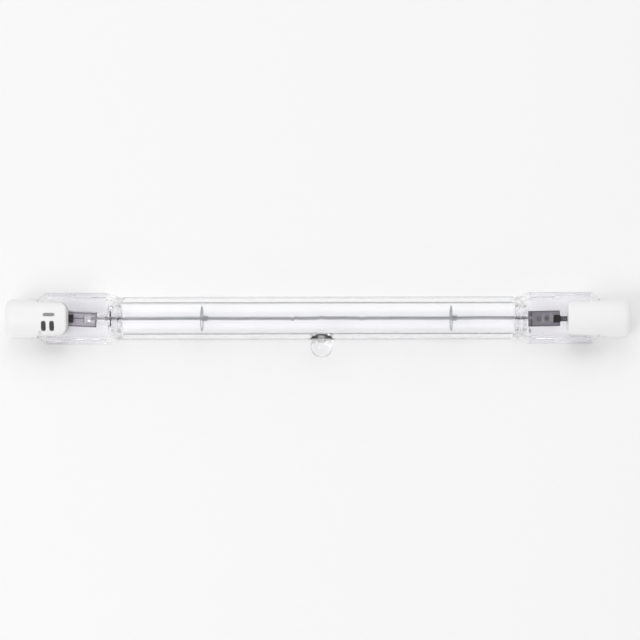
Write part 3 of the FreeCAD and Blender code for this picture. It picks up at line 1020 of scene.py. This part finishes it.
foil = {
    "length": 6.0,
    "width": 2.95,
    "thickness": 0.03,
    "start": {"left": 41.7, "right": 39.5},      # the edge nearer the gas
    "offset": {"left": -0.06, "right": -0.14},
    "tilt": {"left": 2.8, "right": -1.0},
    "ripple": 0.012,
    "feather": 0.45,            # the edges are etched thinner over this width
    "edgeShare": 0.15,          # to this share of the thickness
    "cuts": (84, 42),           # cells along and across
    # weld marks and burns, and lighter patches and a bright spot that are painted highlights, with
    # places along from the edge nearer the gas
    "marks": {
        "left": (
            (3.0, 0.0, 3.0, 1.4, 8, -0.2), (1.35, 0.0, 1.1, 0.64, 8, -0.25),
            (2.43, 0.0, 0.1, 0.64, 8, 0.9), (1.45, -0.28, 0.24, 0.14, 2, -3.0),
            (3.5, 0.1, 1.05, 0.1, 8, 1.3), (0.12, 0.0, 0.14, 1.45, 8, 1.1),
            (3.0, -1.36, 3.0, 0.13, 8, 0.8), (3.0, 1.36, 3.0, 0.13, 8, -0.5),
            (4.9, 0.0, 0.7, 1.0, 2, 0.5), (2.6, 1.08, 2.6, 0.12, 8, 0.7),
        ),
        "right": (
            (0.35, 0.0, 0.4, 1.45, 8, 0.5), (0.62, 0.0, 0.15, 1.25, 8, 0.7),
            (2.05, 0.0, 0.5, 0.5, 2, 0.6), (3.55, 0.05, 0.5, 0.44, 2, 0.9),
            (2.75, 0.0, 0.1, 0.8, 8, -0.5), (3.05, 0.0, 0.07, 0.8, 8, -0.4),
            (4.3, 0.3, 0.5, 0.9, 2, -0.3), (3.0, 1.38, 3.0, 0.14, 8, 0.8),
            (3.0, -1.36, 3.0, 0.16, 8, 0.8), (5.88, 0.0, 0.14, 1.45, 8, 0.7),
            (3.0, 0.0, 3.0, 1.4, 8, 0.25),
        ),
    },
}
outerLead = {
    "diameter": 1.0,
    "end": 56.2,
    "offset": {"left": 0.0, "right": -0.18},
    "padStart": {"left": 46.1, "right": 44.25},
    "padLength": 1.35,
    "padWidth": {"left": 1.5, "right": 1.45},   # the end is pressed into a flat pad
    "padThickness": 0.45,
    "padEdge": 0.12,
    "padOverlap": 0.5,
    "padTaper": 0.12,           # as a share of the width
    "padUneven": (0.03, 0.18),  # sideways, and in thickness as a share
    "weldMark": (0.35, 1.1, 2.2),   # burnt: from the pad's start, half length, strength
    "ringMark": (0.09, 1.2),    # dark lines round the wire: half length, strength
    "ringPlaces": {"left": (), "right": (45.95, 46.35, 46.75)},
}


def makeFoil(side):
    f = foil
    length, halfWidth, halfThickness = f["length"], f["width"] / 2, f["thickness"] / 2
    sheet = addBlock((0, -halfWidth, -halfThickness), (length, halfWidth, halfThickness))
    along, across = f["cuts"]
    cutRings(sheet, steps(0, length, along)[1:-1])
    cutRings(sheet, steps(-halfWidth, halfWidth, across)[1:-1], (0, 1, 0))
    for vertex in sheet.data.vertices:
        x, y, z = vertex.co * 1000
        inside = ease(halfWidth - abs(y), 0, f["feather"])
        z *= f["edgeShare"] + (1 - f["edgeShare"]) * inside
        ripple = math.sin(x * 4.1 + 0.8 * math.sin(y * 3)) * math.cos(y * 2.3 + x)
        vertex.co.z = mm(z + f["ripple"] * ripple)
    paintMarks(sheet, f["marks"][side])
    sheet.location = (mm(f["start"][side]), 0, 0)
    settle(sheet)
    if side == "left":
        mirrorToLeft(sheet)
    sheet.rotation_euler.z = -math.radians(f["tilt"][side])
    middle = (f["start"][side] + length / 2) * (-1 if side == "left" else 1)
    turned = Matrix.Rotation(sheet.rotation_euler.z, 3, "Z") @ Vector((middle, 0, 0))
    sheet.location = (Vector((middle, f["offset"][side], 0)) - turned) * 0.001
    settle(sheet)
    finishPiece(sheet, "foil_" + side + "_sheet", foilSheet, ["foil_" + side])


def makeOuterLead(side):
    o = outerLead
    start = o["padStart"][side]
    end = start + o["padLength"]
    taperStart = end - o["padOverlap"]
    half = o["padWidth"][side] / 2
    halfThickness = o["padThickness"] / 2
    lead = addRod(o["diameter"] / 2, taperStart, o["end"], 48)
    cutRings(lead, steps(end, end + 2, 24))
    pad = addBlock((start, -half, -halfThickness), (end, half, halfThickness))
    bevelEdges(pad, lambda a, b: True, o["padEdge"], 3)
    editWhole(pad)
    bpy.ops.mesh.subdivide(number_cuts=9)
    leaveEdit()
    sideways, inThickness = o["padUneven"]
    for vertex in pad.data.vertices:
        x, y, z = vertex.co * 1000
        taper = 1 - o["padTaper"] * ease(x, taperStart, end)
        vertex.co.y = mm(y * taper + sideways * math.sin(x * 9 + z * 5))
        vertex.co.z = mm(z * (1 + inThickness * math.sin(x * 11 + 1) * math.cos(y * 7)))
    combine(lead, pad, "UNION")
    place, halfLength, strength = o["weldMark"]
    marks = [(start + place, 0, halfLength, half * 1.2, 8, strength)]
    halfLength, strength = o["ringMark"]
    for place in o["ringPlaces"][side]:
        marks.append((place, 0, halfLength, o["diameter"], 8, strength))
    paintMarks(lead, marks)
    lead.location.y = mm(o["offset"][side])
    settle(lead)
    if side == "left":
        mirrorToLeft(lead)
    finishPiece(
        lead, "lead_" + side + "_outer", pinWire, ["outer_lead_" + side],
        sharpAngle=40,
    )


for side in ("left", "right"):
    makeFoil(side)
    makeOuterLead(side)


# Metal and cement pieces carried over from the construction

carried = {
    "inner_lead": innerWire,
    "contact": contactMetal,
    "cement": capCement,
}
for family, material in carried.items():
    for side in ("left", "right"):
        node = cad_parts[family + "_" + side]
        for place in node.material_slots:
            place.material = material
print("carried pieces dressed")


# Table, light and camera

studio = {
    "tableSize": 6000,
    "tableGap": 0.02,
    "sweepStart": 120,          # the table runs into a white sweep between these two
    "sweepEnd": 600,
    "tentHeight": (0.05, 0.5),  # the tent brightens between these, 0 level and 1 overhead
    "tentLight": (0.45, 0.7),
    "seenLight": 0.93,          # how white it is where it is seen
    # square lamps as name, place, size and power, in metres and watts
    "lamps": (
        ("keyPanel", (-0.32, -0.38, 0.5), 0.35, 1.13),
        ("fillPanel", (-0.02, 0.32, 0.45), 0.4, 0.49),
    ),
}


def seenRays(tree):
    # 1 where the white studio is seen, plainly or by way of glass or metal
    rays = addNode(tree, "ShaderNodeLightPath").outputs
    seen = rays["Is Camera Ray"]
    for other in ("Is Glossy Ray", "Is Transmission Ray"):
        seen = addNode(
            tree, "ShaderNodeMath", {"operation": "MAXIMUM"}, {0: seen, 1: rays[other]}
        ).outputs[0]
    return seen


def makeTable():
    nothingSelected()
    bpy.ops.mesh.primitive_plane_add(
        size=mm(studio["tableSize"]), location=(0, 0, cadBox[0].z - mm(studio["tableGap"]))
    )
    table = bpy.context.object
    table.name = "table"
    material, tree, place = startMaterial("paleTable")
    paper = addNode(tree, "ShaderNodeBsdfPrincipled", inputs={
        "Base Color": fromHex("fefefe"), "Roughness": 0.9, "Specular IOR Level": 0.1,
    })
    # the clear glass shows the white sweep too
    sweep = addNode(
        tree, "ShaderNodeEmission", inputs={"Color": fromHex("f8f8f8"), "Strength": 1.0}
    )
    away = addNode(
        tree, "ShaderNodeVectorMath", {"operation": "LENGTH"}, {0: place}
    ).outputs["Value"]
    share = addNode(tree, "ShaderNodeMapRange", {"interpolation_type": "SMOOTHSTEP"}, {
        "Value": away, "From Min": mm(studio["sweepStart"]), "From Max": mm(studio["sweepEnd"]),
        "To Max": seenRays(tree),
    }).outputs["Result"]
    showSurface(tree, addNode(tree, "ShaderNodeMixShader", inputs={
        0: share, 1: paper.outputs[0], 2: sweep.outputs[0],
    }))
    table.data.materials.append(material)


def makeLight():
    world = bpy.data.worlds.new("studio")
    bpy.context.scene.world = world
    world.use_nodes = True
    tree = world.node_tree
    tree.nodes.clear()
    # a bright tent overhead that falls off to grey at the horizon
    place = addNode(tree, "ShaderNodeTexCoord").outputs["Generated"]
    height = addNode(tree, "ShaderNodeSeparateXYZ", inputs={0: place}).outputs["Z"]
    low, high = studio["tentHeight"]
    horizon, overhead = studio["tentLight"]
    tent = addNode(
        tree, "ShaderNodeMapRange", {"interpolation_type": "SMOOTHSTEP"},
        {"Value": height, "From Min": low, "From Max": high, "To Min": horizon, "To Max": overhead},
    ).outputs["Result"]
    strength = addNode(
        tree, "ShaderNodeMix", {"data_type": "FLOAT"},
        {"Factor": seenRays(tree), 2: tent, 3: studio["seenLight"]},
    ).outputs[0]
    light = addNode(tree, "ShaderNodeBackground", inputs={
        "Color": fromHex("ffffff"), "Strength": strength,
    })
    addNode(tree, "ShaderNodeOutputWorld", inputs={"Surface": light.outputs[0]})
    for name, spot, size, power in studio["lamps"]:
        data = bpy.data.lights.new(name, "AREA")
        data.shape = "SQUARE"
        data.size = size
        data.energy = power
        panel = bpy.data.objects.new(name, data)
        panel.location = spot
        panel.rotation_mode = "QUATERNION"
        panel.rotation_quaternion = Vector(spot).to_track_quat("Z", "Y")
        bpy.context.collection.objects.link(panel)


def makeCamera():
    # square to the flat seals, with the aim a little off the bulb's middle and a slight turn
    view = {
        "lens": 200.0, "sensor": 36.0, "widthAcross": 120.5,
        "right": 0.33, "down": 0.34, "turn": 0.1,
    }
    data = bpy.data.cameras.new("camera")
    data.lens = view["lens"]
    data.sensor_width = view["sensor"]
    data.clip_start = 0.01
    data.clip_end = 10.0
    camera = bpy.data.objects.new("camera", data)
    bpy.context.collection.objects.link(camera)
    back = Vector((0, -math.sin(restRoll), math.cos(restRoll)))
    up = Vector((0, math.cos(restRoll), math.sin(restRoll)))
    right = Vector((1, 0, 0))
    distance = mm(view["widthAcross"]) * view["lens"] / view["sensor"]
    aim = right * mm(view["right"]) - up * mm(view["down"])
    turn = Matrix.Rotation(math.radians(-view["turn"]), 3, back)
    axes = Matrix((turn @ right, turn @ up, back)).transposed()
    camera.matrix_world = Matrix.Translation(aim + back * distance) @ axes.to_4x4()
    bpy.context.scene.camera = camera


makeTable()
makeLight()
makeCamera()
bpy.context.scene.view_settings.view_transform = "Standard"
print("table, light and camera done")
